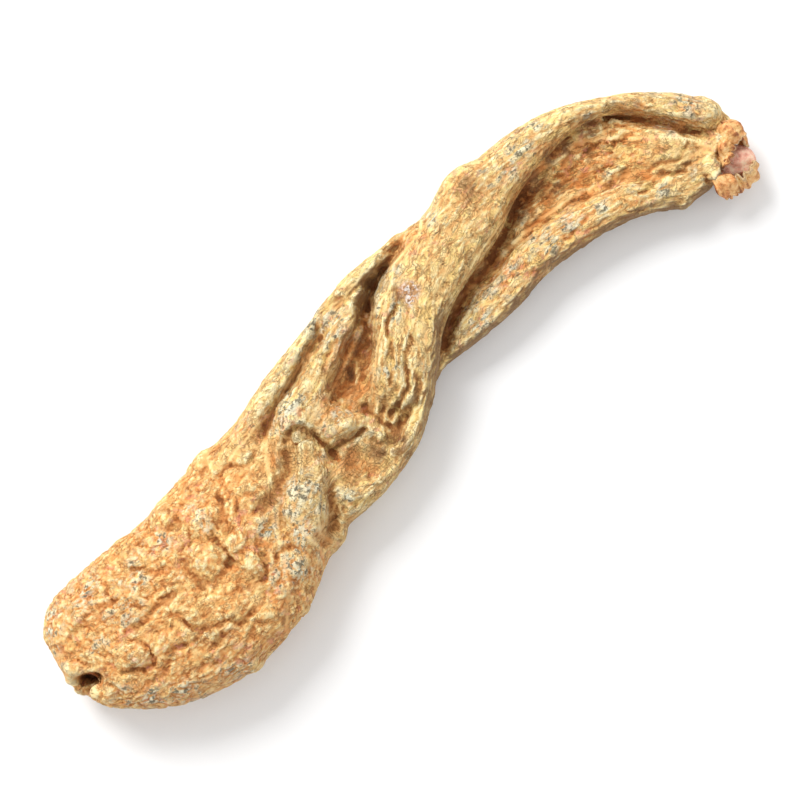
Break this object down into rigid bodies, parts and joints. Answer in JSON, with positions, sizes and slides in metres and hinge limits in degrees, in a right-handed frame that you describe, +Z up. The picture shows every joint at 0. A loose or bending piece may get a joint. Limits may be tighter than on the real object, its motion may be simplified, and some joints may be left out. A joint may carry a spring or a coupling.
{
  "type": "tuber",
  "caption": "Dried, wrinkled tuber lying on its side: a broad flattened bulb with a round scar narrows into a twisted, folded neck that ends in a pinkish bud with papery scales.",
  "frame": {"origin": "under the middle of the tuber's bounding box, on the surface it rests on", "axes": "+X along the tuber from the scar to the bud, +Y across it towards the outside of its bend, +Z up from the surface it rests on"},
  "size_m": [0.1318, 0.0446, 0.0154],
  "materials": {
    "skin": "matt, wrinkled dried skin, cream on the ridges and rust brown in the creases",
    "bud_flesh": "matt, pinkish dried bud",
    "papery_scale": "matt to satin, thin and papery"
  },
  "bodies": {
    "root": {"tuber_body": "skin", "bud": "bud_flesh", "bud_scale_far": "papery_scale", "bud_scale_top": "papery_scale", "bud_scale_near": "papery_scale", "bud_scale_under": "papery_scale"}
  },
  "joints": []
}
